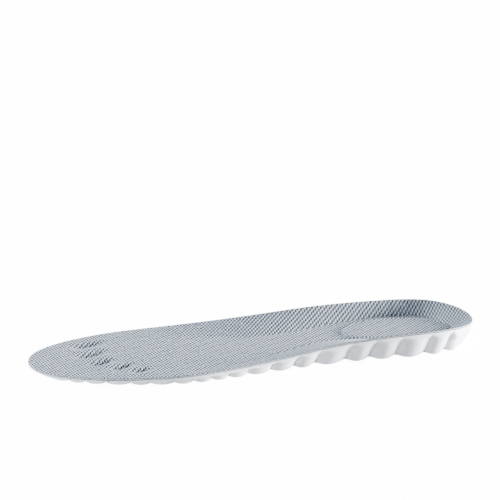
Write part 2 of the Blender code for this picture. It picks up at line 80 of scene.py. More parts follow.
CROWN, INNER_CROWN = 0.45, 0.45  # the cobbles' crowns at the wall, and how much more further in
CREASE = [(-135, 0.6), (-110, 1.0), (-60, 1.5), (0, 2.1), (135, 2.2)]
TOE_FLANGE = 1.1
TRIM_GROOVE = 0.35  # the line pressed into the toe's plain margin, along which it can be cut down a size
TRIM_FROM = 5.5  # how wide the margin is where that line begins
SEAT_INSET = 3.0  # from the rim to the foam's seat under the film
SEAT_DROP = 0.1  # how far the seat lies below the foam's nominal top
COBBLE_PITCH = 10.5
PAD_BEVEL, PAD_DOME = 1.7, 0.35
HOLE_RADIUS, HOLE_ROOF = 1.75, 0.4
TOE_PADS = [
    (-72.2, -30.3, 16.7, 12.4, 25), (-82.5, -20.3, 17.9, 13.7, 20), (-91.8, -9.2, 19.7, 15.5, 15),
    (-97.2, 5.2, 23.7, 17.0, 8), (-96.8, 22.7, 25.8, 18.2, 0),
]
PADS = [
    [(-47, -36.5), (-40, -36), (-35, -31), (-34, -24), (-37, -18.5), (-43, -16), (-50, -18), (-57, -21),
     (-58.5, -26.5), (-54, -32.5)],
    [(-75.5, -1), (-74.5, -8), (-67, -13), (-56, -16.5), (-47.5, -15.5), (-44, -8), (-45.5, 0.5), (-50, 6.5),
     (-61, 8.5), (-70, 6.5)],
    [(-81, 26.5), (-78.5, 18.5), (-73, 13), (-64, 10.5), (-52, 11), (-45.5, 14.5), (-42.5, 22.5), (-43, 29.5),
     (-47, 34), (-61, 37.5), (-73, 37), (-80, 32.5)],
    [(-20, -27.5), (-13, -28), (-6, -25), (-2.5, -20), (-1.5, -14.5), (-4, -7.5), (-9.5, 2.5), (-16.5, 10),
     (-25, 13.5), (-34, 14.5), (-39.5, 12), (-41.5, 5), (-40.5, -2), (-37.5, -11.5), (-32, -20),
     (-26.5, -25)],
    [(4.5, -20), (11.5, -21.5), (18, -21.5), (25, -20), (28.5, -15), (30.5, -8), (29, -1.5), (24, 2.5),
     (13.5, 6.5), (6.5, 7.5), (-0.5, 6.5), (-3.2, 2.5), (-3, -3.5), (0.5, -12)],
    [(39, -15), (47, -16), (55, -15.5), (60.5, -13.5), (62.2, -9.5), (61, -4), (56.5, 1.5), (50, 5),
     (39, 6.5), (33.5, 5), (32.8, 0), (34, -7), (35.8, -13)],
]
VENTS = [
    (-72.5, -30.5), (-82.5, -20), (-96.5, -11), (-88.5, -8), (-102.5, 4), (-93.5, 6.5), (-102.5, 22.5),
    (-93.5, 23), (-47, -31), (-52.5, -24), (-41, -23), (-67, -7.5), (-58, -8), (-49, -8), (-69.5, 2),
    (-60, 1.5), (-51, 1.5), (-66.5, 16), (-55, 14.5), (-75.5, 20.5), (-47.5, 21), (-67, 24.5), (-57.5, 23),
    (-73.5, 31), (-63.5, 33), (-52.5, 31), (-26, -20.5), (-18, -20), (-8.5, -17), (-31, -12), (-22, -10.5),
    (-11.5, -8), (-35, -3.5), (-26.5, -1.5), (-18, 2), (-36.5, 6), (-28.5, 7.5), (11, -16.5), (21.5, -15.5),
    (7, -7.5), (16.5, -8), (25, -7), (3.5, 1.5), (14.5, 1), (44.5, -10), (54, -9), (38, -1.5), (47.5, -1.5),
]

GEL = (92.5, 4.3, 29.4, 21.0)
GEL_FACE, GEL_TOP = 0.5, 3.9
GEL_DIMPLES = [(76.5, -7), (88.5, -7.5), (101, -7), (113, -3.5), (72.5, 3.5), (86.5, 4.5), (99.5, 5.5),
               (114, 6.5), (75.5, 13.5), (87, 17), (99.5, 18), (110.5, 15.2)]
POCKET_GAP = 0.35

# The knit's holes stand in staggered rows: their pitch along a row and twice the rows' spacing.
KNIT_TURN, KNIT_ALONG, KNIT_ACROSS = math.radians(12.8), 3.48, 2.78
KNIT_DEPTH = 0.55  # how deep the holes are pressed into the cover

RIM_SAMPLES = 1280
KNIT_STEPS = (4, 5)  # how many mesh steps divide the two sides of one cell of the knit
SOLE_STEP = 0.8  # between the sole's mesh points


# ------------------------------------------------------------------------------------- the insole's shape


def closed_spline(knots, count):
    """Evenly spaced points on the smooth closed curve through the knots (a periodic cubic spline)."""
    knots = np.asarray(knots, float)
    after = np.roll(knots, -1, axis=0)
    step = np.sqrt(np.linalg.norm((after - knots)[:, :2], axis=1))
    slope = (after - knots) / step[:, None]
    n = len(knots)
    system = np.zeros((n, n))
    for i in range(n):
        system[i, i - 1] += step[i - 1]
        system[i, i] += 2 * (step[i - 1] + step[i])
        system[i, (i + 1) % n] += step[i]
    bend = np.linalg.solve(system, 6 * (slope - np.roll(slope, 1, axis=0)))
    starts = np.concatenate([[0], np.cumsum(step)])
    at = np.linspace(0, starts[-1], 8 * count, endpoint=False)
    i = np.searchsorted(starts, at, side="right") - 1
    t, h = (at - starts[i])[:, None], step[i][:, None]
    here, there = bend[i], bend[(i + 1) % n]
    line = (knots[i] + t * (slope[i] - h * (2 * here + there) / 6)
            + t**2 * here / 2 + t**3 * (there - here) / (6 * h))
    run = np.linalg.norm((np.roll(line, -1, axis=0) - line)[:, :2], axis=1)
    along = np.concatenate([[0], np.cumsum(run)])
    even = np.searchsorted(along, np.linspace(0, along[-1], count, endpoint=False))
    return line[even % len(line)]


def inward(line):
    run = np.roll(line[:, :2], -1, axis=0) - np.roll(line[:, :2], 1, axis=0)
    run /= np.linalg.norm(run, axis=1)[:, None]
    return np.column_stack([-run[:, 1], run[:, 0]])


RIM_LINE = closed_spline(RIM, RIM_SAMPLES)
RIM_LINE[:, :2] -= (RIM_LINE[:, :2].max(axis=0) + RIM_LINE[:, :2].min(axis=0)) / 2
RIM_NORMAL = inward(RIM_LINE)
RIM_TREE = KDTree(RIM_SAMPLES)
for number, (x, y) in enumerate(RIM_LINE[:, :2]):
    RIM_TREE.insert((x, y, 0), number)
RIM_TREE.balance()


def smooth(t):
    t = np.clip(t, 0, 1)
    return t * t * (3 - 2 * t)


def near_rim(xy):
    """(distance inside the rim, negative outside it, and the nearest rim sample) for each point."""
    index = np.array([RIM_TREE.find((x, y, 0))[1] for x, y in xy])
    off = xy - RIM_LINE[index, :2]
    gap = np.linalg.norm(off, axis=1)
    depth = (off * RIM_NORMAL[index]).sum(axis=1)
    return np.where(gap > 1.5, np.sign(depth) * gap, depth), index


def in_ellipse(xy, x, y, half_length, half_width, degrees=0.0):
    c, s = math.cos(math.radians(degrees)), math.sin(math.radians(degrees))
    dx, dy = xy[:, 0] - x, xy[:, 1] - y
    return np.hypot((dx * c + dy * s) / half_length, (dy * c - dx * s) / half_width)


def toe_hollow(xy, x, y, half_length, half_width, degrees, depth):
    """A leaf-shaped hollow, steep on its inner side, with a low crest on its outer side."""
    c, s = math.cos(math.radians(degrees)), math.sin(math.radians(degrees))
    dx, dy = xy[:, 0] - x, xy[:, 1] - y
    along, across = (dx * c + dy * s) / half_length, (dy * c - dx * s) / half_width
    ends = smooth(1 - abs(along) ** 1.6)
    side = np.where(across > 0.15, (across - 0.15) / 0.65, (across - 0.15) / 1.0)
    crest = smooth(1 - abs(across + 1.15) / 0.75)
    return ends * depth * (0.28 * crest - smooth(1 - abs(side)))


def top_shape(xy):
    """(height of the cover's upper face, distance inside the rim, nearest rim sample)."""
    gap, index = near_rim(xy)
    bed = np.interp(xy[:, 0], *np.transpose(BED))
    rise = np.clip(1 - gap / RIM_LINE[index, 3], 0, 1) ** SLOPE_POWER
    height = bed + (RIM_LINE[index, 2] - bed) * rise
    foot = (gap - RIM_LINE[index, 3]) / 1.1
    height -= FOOT_CREASE * np.exp(-foot**2) * smooth(xy[:, 0] / 25)
    x, y, a, b, turn, lift = HEEL_OVAL
    height += lift * smooth((1 - in_ellipse(xy, x, y, a, b, turn)) / 0.07) * smooth((0.5 - rise) / 0.2)
    for hollow in TOE_HOLLOWS:
        height += toe_hollow(xy, *hollow)
    return height, gap, index


def cloth_coordinates(xy, gap, index):
    """Where each point was on the flat cloth, which runs up the cup's slope without stretching."""
    bed = np.interp(xy[:, 0], *np.transpose(BED))
    width, rise = RIM_LINE[index, 3], RIM_LINE[index, 2] - bed
    up = np.clip(1 - gap / width, 0, 1)
    steps = (np.arange(12) + 0.5) / 12
    slope = SLOPE_POWER * rise[:, None] * (up[:, None] * steps) ** (SLOPE_POWER - 1)
    run = np.hypot(width[:, None], slope).mean(axis=1) * up
    return xy - RIM_NORMAL[index] * (run - width * up)[:, None]


def knit_lattice():
    c, s = math.cos(KNIT_TURN), math.sin(KNIT_TURN)
    along, across = np.array((c, s)) * KNIT_ALONG, np.array((-s, c)) * KNIT_ACROSS
    return (along - across) / 2, (along + across) / 2


def knit_relief(cloth):
    """0 on the yarns' crests and 1 in the middle of a hole."""
    c, s = math.cos(KNIT_TURN), math.sin(KNIT_TURN)
    u = 2 * math.pi * (cloth[:, 0] * c + cloth[:, 1] * s) / KNIT_ALONG
    v = 2 * math.pi * (cloth[:, 1] * c - cloth[:, 0] * s) / KNIT_ACROSS
    net = np.cos(u - v) + 0.8 * np.cos(2 * u) + 0.3 * np.cos(u + v)
    return smooth((net + 0.7) / 2.2)


def knit_points():
    """The cover's mesh points: the knit's own lattice on the flat cloth, laid onto the insole's plan."""
    a, b = knit_lattice()
    i, j = np.mgrid[-500:501, -600:601]
    flat = (i.ravel()[:, None] * a / KNIT_STEPS[0] + j.ravel()[:, None] * b / KNIT_STEPS[1])
    reach = abs(RIM_LINE[:, :2]).max(axis=0) + 8
    flat = flat[(abs(flat) < reach).all(axis=1)]
    xy = flat.copy()
    for _ in range(8):
        xy += flat - cloth_coordinates(xy, *near_rim(xy))
    return xy[near_rim(xy)[0] > 0.3]


def rim_index(side, value):
    x, y = RIM_LINE[:, 0], RIM_LINE[:, 1]
    off, allowed = {
        "outer": (abs(x - value), y < 0), "inner": (abs(x - value), y > 0),
        "heel": (abs(y - value), x > 60), "toe": (abs(y - value), x < -60),
    }[side]
    return int(np.where(allowed, off, 1e9).argmin())


def valleys():
    found = [rim_index("outer", x) for x in OUTER_VALLEYS] + [rim_index("heel", y) for y in HEEL_VALLEYS]
    found += [rim_index("inner", x) for x in INNER_VALLEYS] + [rim_index("toe", y) for y in TOE_VALLEYS]
    return sorted(found)


def wall_inset(index):
    x, z = RIM_LINE[index, 0], RIM_LINE[index, 2]
    inset = WALL_INSET - HEEL_STEEPER * smooth((x - 60) / 40) + HEEL_UNDERCUT * smooth((x - 121) / 11)
    return inset * np.clip(z / 16.5, 0.25, 1)


def valley_depths():
    """For each rim sample, 0 at the middle of a lobe and 1 in the valley between two lobes."""
    marks = np.array(valleys())
    marks = np.concatenate([marks[-1:] - RIM_SAMPLES, marks, marks[:1] + RIM_SAMPLES])
    at = np.arange(RIM_SAMPLES)
    after = np.searchsorted(marks, at, side="right")
    start, end = marks[after - 1], marks[after]
    off = 2 * (at - start) / (end - start) - 1
    return 0.5 * off**2 + 0.5 * (1 - np.sqrt(1 - 0.985 * off**2))


VALLEY = valley_depths()
LOBE_SCALE = np.clip(RIM_LINE[:, 2] / 13, 0.45, 1) * (1 - 0.85 * smooth((RIM_LINE[:, 0] - 122) / 5))


def toe_margins():
    """For each rim sample, how wide the sole's plain margin is."""
    x, y = RIM_LINE[:, 0], RIM_LINE[:, 1]
    outer = np.interp(x, [-135, -112, -70, -55], [9.5, 9.5, 6.5, 0])
    inner = np.interp(x, [-135, -128, -115], [9.5, 6, 0])
    return np.where(y < 4.3, outer, inner)


MARGIN = toe_margins()


def ellipse_ring(x, y, length, width, degrees, count):
    turn = 2 * math.pi * np.arange(count) / count
    c, s = math.cos(math.radians(degrees)), math.sin(math.radians(degrees))
    u, v = length / 2 * np.cos(turn), width / 2 * np.sin(turn)
    return np.column_stack([x + u * c - v * s, y + u * s + v * c])


def gel_ring(grow, count=200):
    x, y, a, b = GEL
    turn = 2 * math.pi * np.arange(count) / count
    c, s = np.cos(turn), np.sin(turn)
    blunt = np.where(c > 0, 0.92, 1.0)
    return np.column_stack([
        x + (a + grow) * np.sign(c) * abs(c) ** blunt,
        y + (b + grow) * np.sign(s) * abs(s) ** blunt,
    ])


def inside(xy, ring):
    x, y = xy[:, 0][:, None], xy[:, 1][:, None]
    ax, ay = ring[:, 0], ring[:, 1]
    bx, by = np.roll(ax, -1), np.roll(ay, -1)
    across = (ay > y) != (by > y)
    with np.errstate(divide="ignore", invalid="ignore"):
        left = x < (bx - ax) * (y - ay) / (by - ay) + ax
    return (across & left).sum(axis=1) % 2 == 1


def ring_depth(xy, ring):
    """Distance to a closed ring, positive inside it; points far from it get a large negative number."""
    depth = np.full(len(xy), -99.0)
    low, high = ring.min(axis=0) - 6, ring.max(axis=0) + 6
    near = ((xy > low) & (xy < high)).all(axis=1)
    a, b = ring, np.roll(ring, -1, axis=0)
    run = b - a
    p = xy[near]
    t = ((p[:, None, :] - a) * run).sum(axis=2) / (run**2).sum(axis=1)
    nearest = a + np.clip(t, 0, 1)[:, :, None] * run
    gap = np.linalg.norm(p[:, None, :] - nearest, axis=2).min(axis=1)
    depth[near] = np.where(inside(p, ring), gap, -gap)
    return depth


PAD_RINGS = [ellipse_ring(*p, 72) for p in TOE_PADS] + [closed_spline(p, 96) for p in PADS]


def cobble_centres():
    marks = valleys()
    edge = []
    for a, b in zip(marks, marks[1:] + [marks[0] + RIM_SAMPLES]):
        i = (a + b) // 2 % RIM_SAMPLES
        edge.append(RIM_LINE[i, :2] + RIM_NORMAL[i] * (wall_inset(i) + 4.2))
    edge = np.array(edge)
    field = []
    for row in range(-6, 7):
        for column in range(-14, 15):
            wobble = 2.2 * math.sin(5.1 * row + 2.3 * column), 2.2 * math.sin(3.7 * column - 1.9 * row)
            field.append(((column + row % 2 / 2) * COBBLE_PITCH + wobble[0],
                          row * COBBLE_PITCH * 0.87 + wobble[1]))
    field = np.array(field)
    keep = near_rim(field)[0] > 0
    keep &= np.linalg.norm(field[:, None] - edge, axis=2).min(axis=1) > 7.5
    for ring in [*PAD_RINGS, gel_ring(POCKET_GAP)]:
        keep &= ring_depth(field, ring) < -3.0
    return np.concatenate([edge, field[keep]])


COBBLES = cobble_centres()


def crease(xy):
    """0 on a cobble's crown and 1 in the crease between two cobbles."""
    gap = np.linalg.norm(xy[:, None, :] - COBBLES, axis=2)
    first, second = np.argpartition(gap, 1, axis=1)[:, :2].T
    rows = np.arange(len(xy))
    apart = np.linalg.norm(COBBLES[first] - COBBLES[second], axis=1)
    to_border = abs(gap[rows, second] ** 2 - gap[rows, first] ** 2) / (2 * apart)
    return 1 - np.sqrt(1 - np.clip(1 - to_border / 4.5, 0, 1) ** 2)


def sole_height(xy):
    gap, index = near_rim(xy)
    lift = TOE_FLANGE * smooth((-114 - xy[:, 0]) / 16)
    from_wall, from_margin = gap - wall_inset(index), gap - MARGIN[index]
    crown = CROWN + lift + INNER_CROWN * smooth((from_wall - 2) / 8)
    hollow = np.interp(xy[:, 0], *np.transpose(CREASE)) * crease(xy)
    hollow *= smooth(from_wall / 6) * smooth(from_margin / 3)
    scallop = LOBE_SCALLOP * (LOBE_SCALE * VALLEY)[index] * np.clip(1 - (from_wall - 1) / 7, 0, 1) ** 2
    scallop *= smooth((RIM_LINE[index, 0] + 124) / 12)
    groove = TRIM_GROOVE * np.exp(-((from_margin / 0.4) ** 2)) * smooth(MARGIN[index] - TRIM_FROM)
    return crown + np.maximum(hollow, scallop) + groove


# ------------------------------------------------------------------------------------- meshes


def hexagons(step, low, high):
    rows = np.arange(int((high[1] - low[1]) / (step * 0.866)) + 1)
    columns = np.arange(int((high[0] - low[0]) / step) + 1)
    x = low[0] + step * (columns[None, :] + (rows[:, None] % 2) / 2)
    y = np.broadcast_to(low[1] + step * 0.866 * rows[:, None], x.shape)
    return np.column_stack([x.ravel(), y.ravel()])


def triangulated(rings, loose, hole_rings=()):
    """(points, triangles, each ring's indices) over the first ring, with the hole rings left open."""
    sides, starts = [], [0]
    for ring in [*rings, *hole_rings]:
        start = starts[-1]
        sides += [(start + i, start + (i + 1) % len(ring)) for i in range(len(ring))]
        starts.append(start + len(ring))
    points = np.concatenate([*rings, *hole_rings, loose])
    out, _, faces, sources, _, _ = delaunay_2d_cdt([tuple(p) for p in points], sides, [], 0, 1e-7)
    out, faces = np.array(out), np.array(faces)
    place = np.empty(len(points), int)
    for new, merged in enumerate(sources):
        place[merged] = new
    middle = out[faces].mean(axis=1)
    keep = np.concatenate([inside(part, rings[0]) for part in np.array_split(middle, 40)])
    for ring in hole_rings:
        keep &= ring_depth(middle, ring) <= 0
    faces = faces[keep]
    a, b, c = out[faces[:, 0]], out[faces[:, 1]], out[faces[:, 2]]
    turned = np.cross(b - a, c - a) < 0
    faces[turned] = faces[turned][:, ::-1]
    return out, faces, [place[a:b] for a, b in zip(starts, starts[1:])]


class Skin:
    """A mesh put together from sheets, bands and caps."""

    def __init__(self):
        self.points, self.faces, self.slots, self.count = [], [], [], 0

    def add(self, xy, z):
        self.points.append(np.column_stack([xy, np.broadcast_to(z, len(xy))]))
        self.count += len(xy)
        return np.arange(self.count - len(xy), self.count)

    def put(self, faces, slot=0):
        self.faces += [tuple(f) for f in faces]
        self.slots += [slot] * len(faces)

    def band(self, low, high, slot=0):
        self.put(np.column_stack([low, np.roll(low, -1), np.roll(high, -1), high]).tolist(), slot)

    def build(self, name, materials):
        mesh = bpy.data.meshes.new(name)
        mesh.from_pydata(np.concatenate(self.points) * 0.001, [], self.faces)
        for m in materials:
            mesh.materials.append(m)
        mesh.polygons.foreach_set("material_index", self.slots)
        mesh.shade_smooth()
        made = bpy.data.objects.new(name, mesh)
        bpy.context.scene.collection.objects.link(made)
        return made


def set_cloth_uv(obj, cloth):
    layer = obj.data.uv_layers.new(name="cloth")
    corner = np.empty(len(obj.data.loops), np.int32)
    obj.data.loops.foreach_get("vertex_index", corner)
    layer.data.foreach_set("uv", cloth[corner].astype(np.float32).ravel())


def laminate(name, below, thick, materials, inset=0.0, relief=0.0, sink=0.0):
    """One sheet with its cut edge; relief presses the knit into it, sink lowers it inside the edge."""
    ring = RIM_LINE[:, :2] + RIM_NORMAL * inset
    if relief:
        loose = knit_points()
    else:
        loose = hexagons(1.3, ring.min(axis=0), ring.max(axis=0))
        loose = loose[near_rim(loose)[0] > inset + 0.8]
    xy, faces, (rim,) = triangulated([ring], loose)
    height, gap, index = top_shape(xy)
    cloth = cloth_coordinates(xy, gap, index)
    points = np.column_stack([xy, height - below - sink * smooth((gap - 0.5) / 3)])
    if relief:
        near = 0.2
        lean = np.column_stack([(top_shape(xy + (near, 0))[0] - height) / near,
                                (top_shape(xy + (0, near))[0] - height) / near])
        up = np.column_stack([-lean, np.ones(len(xy))])
        up /= np.linalg.norm(up, axis=1)[:, None]
        points -= up * (relief * up[:, 2] * knit_relief(cloth) * smooth((gap - 0.1) / 0.8))[:, None]
    edge = height[rim] - below
    made = Skin()
    face = made.add(points[:, :2], points[:, 2])
    made.put(faces.tolist())
    middle = made.add(ring - RIM_NORMAL * 0.12, edge - thick * 0.45)
    foot = made.add(ring, edge - thick)
    # the cut edge's upper part takes the second material, which on the cover is painted shade
    made.band(middle, face[rim], min(1, len(materials) - 1))
    made.band(foot, middle, len(materials) - 1)
    sheet = made.build(name, materials)
    set_cloth_uv(sheet, np.concatenate([cloth, cloth[rim], cloth[rim]]) * 0.001)
    return sheet


def wall_ring(depth):
    """One ring round the lobed wall, from under the rim (0) down to the sole (1)."""
    at = np.arange(RIM_SAMPLES)
    inset = wall_inset(at)
    foot = RIM_LINE[:, :2] + RIM_NORMAL * inset[:, None]
    spacing = np.linalg.norm(RIM_LINE[1, :2] - RIM_LINE[0, :2])
    lean = LOBE_LEAN * (1 - depth**2) * smooth((RIM_LINE[:, 2] - 6) / 8) / spacing
    lean *= np.where(RIM_LINE[:, 1] < 4, -1, 1)
    valley = np.interp((at + lean) % RIM_SAMPLES, at, VALLEY)
    band = 0.12 + 0.3 * smooth((10 - RIM_LINE[:, 2]) / 4) + 0.55 * smooth((RIM_LINE[:, 0] - 119) / 7)
    dip = LOBE_DEPTH * (1 - 0.3 * depth) * LOBE_SCALE * valley
    dip *= smooth((depth - band + 0.1) / 0.35) * smooth((RIM_LINE[:, 0] + 124) / 12)
    curve = 0.45 * depth + 0.55 * (1 - math.sqrt(1 - depth**2))
    bulge = RIM_BULGE * math.sin(math.pi * min(1, depth / 0.5))
    top = RIM_LINE[:, 2] - RIM_TOP
    low = sole_height(foot)
    return RIM_LINE[:, :2] + RIM_NORMAL * (inset * curve + dip - bulge)[:, None], top + (low - top) * depth


def foam_top(made, outer):
    """The step down from the outer ring to the seat of the film, and the seat itself."""
    for inset, below in [(1.2, RIM_TOP), (1.3, FOAM_TOP)]:
        step = RIM_LINE[:, :2] + RIM_NORMAL * inset
        inner = made.add(step, top_shape(step)[0] - below)
        made.band(outer, inner)
        outer = inner
    edge = RIM_LINE[:, :2] + RIM_NORMAL * SEAT_INSET
    loose = hexagons(1.5, edge.min(axis=0), edge.max(axis=0))
    seat, faces, (rim,) = triangulated([edge], loose[near_rim(loose)[0] > SEAT_INSET + 0.9])
    seat = made.add(seat, top_shape(seat)[0] - FOAM_TOP - SEAT_DROP)
    made.band(outer, seat[rim])
    made.put(seat[faces].tolist())


def sole_points(edge, holes, bevels):
    """The sole's loose mesh points, clear of every ring, with three rows along the trim line."""
    loose = hexagons(SOLE_STEP, edge.min(axis=0), edge.max(axis=0))
    gap, index = near_rim(loose)
    loose = loose[(gap > 1) & ((abs(gap - MARGIN[index]) > 0.8) | (MARGIN[index] < TRIM_FROM))]
    cut = MARGIN > TRIM_FROM
    rows = [RIM_LINE[cut, :2] + RIM_NORMAL[cut] * (MARGIN[cut, None] + off) for off in (-0.4, 0.0, 0.4)]
    loose = np.concatenate([loose, *rows])
    within = edge + inward(edge) * 0.5
    loose = loose[np.concatenate([inside(part, within) for part in np.array_split(loose, 40)])]
    for ring in [*holes, *bevels]:
        loose = loose[abs(ring_depth(loose, ring)) > 0.3 * SOLE_STEP]
    for ring in holes:
        loose = loose[ring_depth(loose, ring) < 0]
    return loose


def with_pads(sole, height):
    """The sole's height with its smooth pads: a moat round each, a rounded flank and a slight dome."""
    for ring in PAD_RINGS:
        depth = ring_depth(sole, ring)
        moat = 0.9 * smooth(1 + depth / 2.0)
        side = np.clip(depth / PAD_BEVEL, 0, 1)
        height = np.where(depth > -2, np.maximum(height, (CROWN + 1.2) * moat), height)
        flank = height * (1 - np.sqrt(side * (2 - side)))
        dome = PAD_DOME * np.clip(1 - depth / 7, 0, 1) ** 2
        height = np.where(depth >= 0, np.maximum(flank, dome), height)
    return height


def vent_hole(made, ring, mouth):
    """A blind hole from its mouth in the sole up to its roof, just under the foam's top."""
    roof_height = (top_shape(ring)[0] - FOAM_TOP - HOLE_ROOF).min()
    lip = made.add(ring + inward(ring) * 0.05, 0.3)
    made.band(lip, mouth)
    roof = made.add(ring + inward(ring) * 0.15, roof_height)
    made.band(roof, lip, 1)
    made.put([roof[::-1].tolist()], 1)


def foam_block(skin, dark):
    """The foam moulding: its top, its lobed wall, the sole with its pads and vents, and the gel's pocket."""
    made = Skin()
    ring = made.add(RIM_LINE[:, :2] + RIM_NORMAL * 0.1, RIM_LINE[:, 2] - RIM_TOP)
    foam_top(made, ring)
    for depth in np.sin(np.linspace(0.06, 1.0, 22) * math.pi / 2)[:-1]:
        lower = made.add(*wall_ring(depth))
        made.band(lower, ring)
        ring = lower
    edge, _ = wall_ring(1.0)

    vents = [ellipse_ring(x, y, 2 * HOLE_RADIUS, 2 * HOLE_RADIUS, 0, 20) for x, y in VENTS]
    pocket = gel_ring(POCKET_GAP)
    bevels = [r + inward(r) * d for r in PAD_RINGS for d in (0.0, 0.5, PAD_BEVEL)]
    holes = [*vents, pocket]
    sole, faces, rings = triangulated([edge, *bevels], sole_points(edge, holes, bevels), holes)
    under = made.add(sole, with_pads(sole, sole_height(sole)))
    made.put(under[faces[:, ::-1]].tolist())
    made.band(under[rings[0]], ring)

    for ring, mouth in zip(vents, rings[-len(holes):]):
        vent_hole(made, ring, under[mouth])
    roof = made.add(pocket, GEL_TOP + 0.65)
    made.band(roof, under[rings[-1]])
    made.put([roof[::-1].tolist()])
    return made.build("foam_block", [skin, dark])


def gel_cushion(skin):
    """The gel pad's underside: a rolled rim, a groove inside it, a domed face and twelve dimples."""
    ring = gel_ring(0)
    loose = hexagons(0.5, ring.min(axis=0), ring.max(axis=0))
    loose = loose[ring_depth(loose, ring) > 0.4]
    xy, faces, (rim,) = triangulated([ring], loose)
    depth = np.abs(ring_depth(xy, ring))
    height = GEL_FACE + 0.8 * (1 - np.sqrt(np.clip(1 - (1 - np.clip(depth / 1.0, 0, 1)) ** 2, 0, 1)))
    height += 0.6 * smooth((depth - 0.9) / 0.7) * (1 - smooth((depth - 1.8) / 1.1))
    height -= 0.2 * smooth(depth / 20)
    for x, y in GEL_DIMPLES:
        out = np.hypot(xy[:, 0] - x, xy[:, 1] - y)
        height += 0.9 * (1 - smooth((out - 0.5) / 1.1)) - 0.12 * smooth(1 - abs(out - 1.9) / 0.6)
    made = Skin()
    face = made.add(xy, height)
    made.put(face[faces[:, ::-1]].tolist())
    top = made.add(ring, GEL_TOP)
    made.band(face[rim], top)
    made.put([top.tolist()])
    return made.build("gel_cushion", [skin])


# ------------------------------------------------------------------------------------- materials


class Graph:
    """Shorthand for building one material's nodes."""

    def __init__(self, name, colour, roughness):
        self.material = bpy.data.materials.new(name)
        self.material.use_nodes = True
        self.tree = self.material.node_tree
        self.shader = self.tree.nodes["Principled BSDF"]
        self.set("Base Color", (*colour, 1))
        self.set("Roughness", roughness)

    def set(self, socket, value):
        if isinstance(value, bpy.types.NodeSocket):
            self.tree.links.new(value, self.shader.inputs[socket])
        else:
            self.shader.inputs[socket].default_value = value

    def node(self, kind, inputs=(), **settings):
        made = self.tree.nodes.new(kind)
        for key, value in settings.items():
            setattr(made, key, value)
        for key, value in dict(inputs).items():
            if isinstance(value, bpy.types.NodeSocket):
                self.tree.links.new(value, made.inputs[key])
            else:
                made.inputs[key].default_value = value
        return made

    def math(self, operation, *values):
        return self.node("ShaderNodeMath", enumerate(values), operation=operation).outputs[0]

    def span(self, value, start, end, **settings):
        """0 at the start and 1 at the end."""
        inputs = {"Value": value, "From Min": start, "From Max": end}
        return self.node("ShaderNodeMapRange", inputs, **settings).outputs["Result"]

    def noise(self, scale, detail=2.0, vector=None):
        if vector is None:
            vector = self.node("ShaderNodeTexCoord").outputs["Object"]
        inputs = {"Vector": vector, "Scale": scale, "Detail": detail}
        return self.node("ShaderNodeTexNoise", inputs).outputs["Fac"]

    def blend(self, factor, first, second):
        made = self.node("ShaderNodeMix", data_type="RGBA")
        self.tree.links.new(factor, made.inputs["Factor"])
        for socket, value in zip([s for s in made.inputs if s.type == "RGBA"], (first, second)):
            if isinstance(value, bpy.types.NodeSocket):
                self.tree.links.new(value, socket)
            else:
                socket.default_value = (*value, 1)
        return [s for s in made.outputs if s.type == "RGBA"][0]

    def bump(self, height, distance, strength=1.0):
        made = self.node("ShaderNodeBump", {"Height": height, "Distance": distance, "Strength": strength})
        self.set("Normal", made.outputs["Normal"])


def knit_material():
    g = Graph("knit_mesh", (0.3, 0.33, 0.37), 0.85)
    uv = g.node("ShaderNodeUVMap", uv_map="cloth").outputs["UV"]
    c, s = math.cos(KNIT_TURN), math.sin(KNIT_TURN)
    turn = 2 * math.pi * 1000

    def wave(along, across):
        ray = ((along * c / KNIT_ALONG - across * s / KNIT_ACROSS) * turn,
               (along * s / KNIT_ALONG + across * c / KNIT_ACROSS) * turn, 0)
        dot = g.node("ShaderNodeVectorMath", {0: uv, 1: ray}, operation="DOT_PRODUCT").outputs["Value"]
        return g.math("COSINE", dot)

    net = g.math("MULTIPLY_ADD", wave(2, 0), 0.8, wave(1, -1))
    net = g.math("MULTIPLY_ADD", wave(1, 1), 0.3, net)
    hole = g.span(net, -1.15, 0.05, interpolation_type="SMOOTHSTEP")
    crest = g.span(net, -1.6, -0.3)
    fibre = g.noise(4500, 3, uv)
    # painted highlight: the yarns' crests are painted lighter than their sides
    yarn = g.blend(crest, (0.66, 0.75, 0.90), (0.36, 0.43, 0.53))
    yarn = g.blend(g.math("MULTIPLY", fibre, 0.6), yarn, (0.30, 0.36, 0.44))
    yarn = g.blend(g.math("MULTIPLY", g.noise(60, 2), 0.25), yarn, (0.52, 0.59, 0.69))
    normal = g.node("ShaderNodeTexCoord").outputs["Normal"]
    level = g.node("ShaderNodeSeparateXYZ", {0: normal}).outputs["Z"]
    slope_painted_light = g.span(level, 0.95, 0.8)  # painted light: the holes are painted lighter where the cover slopes up the cup
    # the holes' near-black on the flat bed is the dark backing seen through them, partly painted shade in the
    # holes
    depth = g.blend(slope_painted_light, (0.032, 0.037, 0.045), (0.085, 0.095, 0.108))
    g.set("Base Color", g.blend(hole, yarn, depth))
    g.set("Sheen Weight", 0.25)
    g.bump(fibre, 0.00012, 0.6)
    return g.material


def plain_material(name, low, high, roughness, scale, depth, **more):
    """Two close shades mottled together, with a fine grain."""
    g = Graph(name, low, roughness)
    grain = g.noise(scale, 3)
    g.set("Base Color", g.blend(g.noise(scale / 12, 2), low, high))
    g.bump(grain, depth, 0.5)
    for key, value in more.items():
        g.set(key.replace("_", " "), value)
    return g.material


# ------------------------------------------------------------------------------------- the pieces

